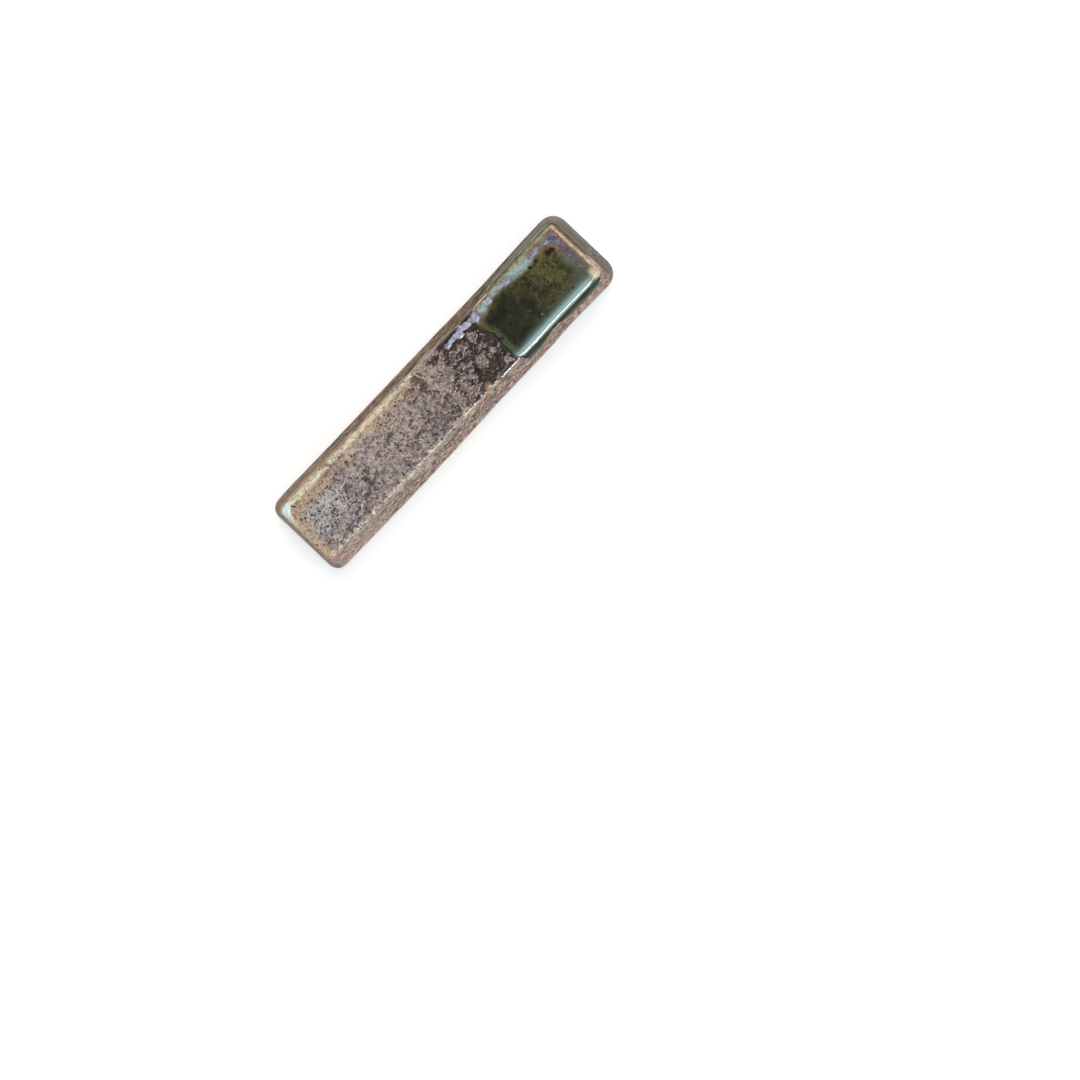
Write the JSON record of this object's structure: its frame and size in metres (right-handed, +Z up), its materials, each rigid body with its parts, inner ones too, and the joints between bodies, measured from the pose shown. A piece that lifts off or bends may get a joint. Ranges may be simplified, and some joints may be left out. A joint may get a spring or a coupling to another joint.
{
  "type": "chopstick rest",
  "caption": "Bar-shaped stoneware chopstick rest with rounded shoulders, a shallow saddle, speckled tan glaze and a pool of green glass at one end.",
  "frame": {"origin": "centre of the unglazed foot, on the table", "axes": "+X along the bar towards the green pool, +Z up, -Y is the long side that the green glass runs over"},
  "size_m": [0.0654, 0.0153, 0.0094],
  "materials": {
    "stoneware_clay": "rough",
    "speckled_tan_glaze": "satin",
    "crawled_iron_glaze": "glossy",
    "green_ash_glass": "glossy",
    "milky_blue_glaze": "glossy",
    "pale_celadon_glaze": "glossy",
    "olive_glaze": "satin"
  },
  "bodies": {
    "root": {"clay_body": "stoneware_clay", "tan_glaze_field": "speckled_tan_glaze", "iron_glaze_crust": "crawled_iron_glaze", "green_glass_pool": "green_ash_glass", "milky_glaze_streaks": "milky_blue_glaze", "celadon_corner_bead": "pale_celadon_glaze", "olive_end_wrap": "olive_glaze"}
  },
  "joints": []
}
